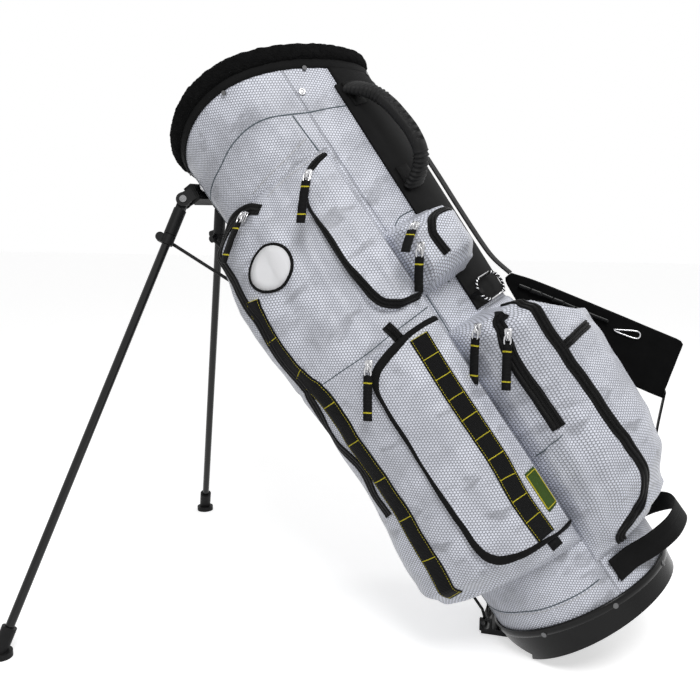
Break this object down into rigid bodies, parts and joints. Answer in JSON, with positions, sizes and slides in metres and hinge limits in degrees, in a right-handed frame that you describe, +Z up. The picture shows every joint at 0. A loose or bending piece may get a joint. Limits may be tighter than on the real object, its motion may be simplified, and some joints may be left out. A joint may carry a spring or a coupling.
{
  "type": "golf stand bag",
  "caption": "Leaning carry bag for golf clubs with a divided padded mouth, zipped pockets, shoulder strap, and two fold-out legs worked by a foot pedal through a push rod.",
  "frame": {"origin": "centre of the foot pedal's flat underside, on the floor", "axes": "+Z up; the legs reach towards -X; -Y is the side with the flat pocket; +Y is the plain side"},
  "size_m": [0.8694, 0.61, 0.7958],
  "materials": {
    "mesh_fabric": "white nylon under a grey open mesh, soft grey mottling",
    "plain_fabric": "plain woven nylon",
    "black_fabric": "black woven nylon",
    "terry": "black looped pile",
    "webbing": "black webbing with yellow stitches",
    "patch": "plain white patch with a black edge",
    "label": "plain green label with a yellow edge",
    "boot_plastic": "moulded black, semi-gloss",
    "frame_plastic": "moulded black, satin",
    "leg_tube": "black anodised tube, satin",
    "leg_rubber": "black rubber, ribbed",
    "bright_metal": "bright plated",
    "dark_metal": "dark plated",
    "rod_steel": "black wire"
  },
  "bodies": {
    "bag": {"base_boot": "boot_plastic", "pedal_pin": "rod_steel", "boot_rivets": "dark_metal", "front_panel": "mesh_fabric", "near_panel": "mesh_fabric", "spine_panel": "plain_fabric", "far_panel": "mesh_fabric", "cuff_binding": "black_fabric", "terry_cuff": "terry", "top_collar": "frame_plastic", "lateral_divider": "black_fabric", "length_dividers": "black_fabric", "body_stays": "frame_plastic", "hood_snaps": "dark_metal", "edge_studs": "dark_metal", "leg_pivot_screws": "dark_metal", "stand_bracket": "frame_plastic", "near_apparel_pocket": "mesh_fabric", "far_apparel_pocket": "mesh_fabric", "ball_pocket": "mesh_fabric", "valuables_pouch": "mesh_fabric", "chest_pocket": "mesh_fabric", "utility_pocket": "mesh_fabric", "side_webbing": "webbing", "pocket_webbing": "webbing", "round_patch": "patch", "side_label": "label", "spine_strip": "frame_plastic", "carry_handle": "frame_plastic", "handle_tabs": "black_fabric", "strap_pad": "black_fabric", "strap_upper_webbing": "webbing", "strap_lower_webbing": "webbing", "ladder_lock": "frame_plastic", "strap_buckle": "bright_metal", "grab_strap": "webbing", "clip_loop": "webbing", "zip_sliders": "bright_metal"},
    "near_leg": {"near_leg_socket": "frame_plastic", "near_leg_tube": "leg_tube", "near_leg_lug": "frame_plastic", "near_leg_foot": "leg_rubber"},
    "far_leg": {"far_leg_socket": "frame_plastic", "far_leg_tube": "leg_tube", "far_leg_lug": "frame_plastic", "far_leg_foot": "leg_rubber"},
    "yoke": {"slide_yoke": "frame_plastic"},
    "push_rod": {"push_rod": "rod_steel"},
    "near_spreader": {"near_spreader": "frame_plastic"},
    "far_spreader": {"far_spreader": "frame_plastic"},
    "pedal": {"foot_pedal": "boot_plastic"},
    "ball_slider": {"ball_zip_slider": "bright_metal"},
    "clip": {"towel_clip": "bright_metal"},
    "apparel_pull": {"apparel_pull": "webbing"},
    "chest_pull": {"chest_pull": "webbing"},
    "pouch_pull_a": {"pouch_pull_a": "webbing"},
    "pouch_pull_b": {"pouch_pull_b": "webbing"},
    "utility_pull": {"utility_pull": "webbing"},
    "ball_pull_a": {"ball_pull_a": "webbing"},
    "ball_pull_b": {"ball_pull_b": "webbing"}
  },
  "joints": [
    {"name": "near_leg_fold", "type": "hinge", "parent": "bag", "child": "near_leg", "pos_m": [-0.46665, -0.058, 0.59438], "axis": [0.363, -0.8964, 0.2542], "range_deg": [0, 53.77]},
    {"name": "far_leg_fold", "type": "hinge", "parent": "bag", "child": "far_leg", "pos_m": [-0.46665, 0.058, 0.59438], "axis": [-0.363, -0.8964, -0.2542], "range_deg": [0, 53.77]},
    {"name": "yoke_slide", "type": "slide", "parent": "bag", "child": "yoke", "axis": [0.5928, 0, -0.8053], "range_m": [0, 0.03985]},
    {"name": "near_spreader_turn", "type": "hinge", "parent": "yoke", "child": "near_spreader", "pos_m": [-0.32785, -0.014, 0.42783], "axis": [-0.4328, 0.8778, -0.2055], "range_deg": [0, 14.35]},
    {"name": "far_spreader_turn", "type": "hinge", "parent": "yoke", "child": "far_spreader", "pos_m": [-0.32785, 0.014, 0.42783], "axis": [0.4328, 0.8778, 0.2055], "range_deg": [0, 14.35]},
    {"name": "push_rod_swing", "type": "hinge", "parent": "yoke", "child": "push_rod", "pos_m": [-0.3183, 0, 0.41484], "axis": [0, 1, 0], "range_deg": [0, 2.11]},
    {"name": "pedal_fold", "type": "hinge", "parent": "bag", "child": "pedal", "pos_m": [0.033, 0, 0.004], "axis": [0, -1, 0], "range_deg": [0, 39.1]},
    {"name": "ball_zip_slide", "type": "slide", "parent": "bag", "child": "ball_slider", "axis": [0.5602, 0.0173, -0.8282], "range_m": [0, 0.11]},
    {"name": "apparel_pull_swing", "type": "hinge", "parent": "bag", "child": "apparel_pull", "pos_m": [-0.33471, -0.15369, 0.57504], "axis": [-0.8819, 0.4715, 0], "range_deg": [0, 100]},
    {"name": "chest_pull_swing", "type": "hinge", "parent": "bag", "child": "chest_pull", "pos_m": [-0.24458, -0.15694, 0.62535], "axis": [-0.9989, -0.0464, 0], "range_deg": [0, 100]},
    {"name": "pouch_pull_a_swing", "type": "hinge", "parent": "bag", "child": "pouch_pull_a", "pos_m": [-0.11201, -0.15325, 0.56496], "axis": [-0.9947, 0.1029, 0], "range_deg": [0, 100]},
    {"name": "pouch_pull_b_swing", "type": "hinge", "parent": "bag", "child": "pouch_pull_b", "pos_m": [-0.10421, -0.15739, 0.53697], "axis": [-0.9885, 0.151, 0], "range_deg": [0, 68]},
    {"name": "utility_pull_swing", "type": "hinge", "parent": "bag", "child": "utility_pull", "pos_m": [-0.15658, -0.19292, 0.39774], "axis": [-0.999, -0.0439, 0], "range_deg": [0, 100]},
    {"name": "ball_pull_a_swing", "type": "hinge", "parent": "ball_slider", "child": "ball_pull_a", "pos_m": [0.00097, -0.15145, 0.43698], "axis": [-1, -0.0041, 0], "range_deg": [0, 100]},
    {"name": "ball_pull_b_swing", "type": "hinge", "parent": "bag", "child": "ball_pull_b", "pos_m": [-0.03791, -0.14438, 0.44085], "axis": [-0.9283, 0.3719, 0], "range_deg": [0, 100]},
    {"name": "towel_clip_swing", "type": "hinge", "parent": "bag", "child": "clip", "pos_m": [-0.04422, -0.08101, 0.47999], "axis": [0.5736, 0, -0.8192], "range_deg": [0, 80]}
  ],
  "couplings": [
    {"joint": "far_leg_fold", "follows": "near_leg_fold", "ratio": 1},
    {"joint": "yoke_slide", "follows": "near_leg_fold", "m_per_rad": 0.04246},
    {"joint": "near_spreader_turn", "follows": "near_leg_fold", "ratio": 0.26685},
    {"joint": "far_spreader_turn", "follows": "near_leg_fold", "ratio": 0.26685},
    {"joint": "push_rod_swing", "follows": "near_leg_fold", "ratio": 0.039175},
    {"joint": "pedal_fold", "follows": "near_leg_fold", "ratio": 0.72718}
  ]
}
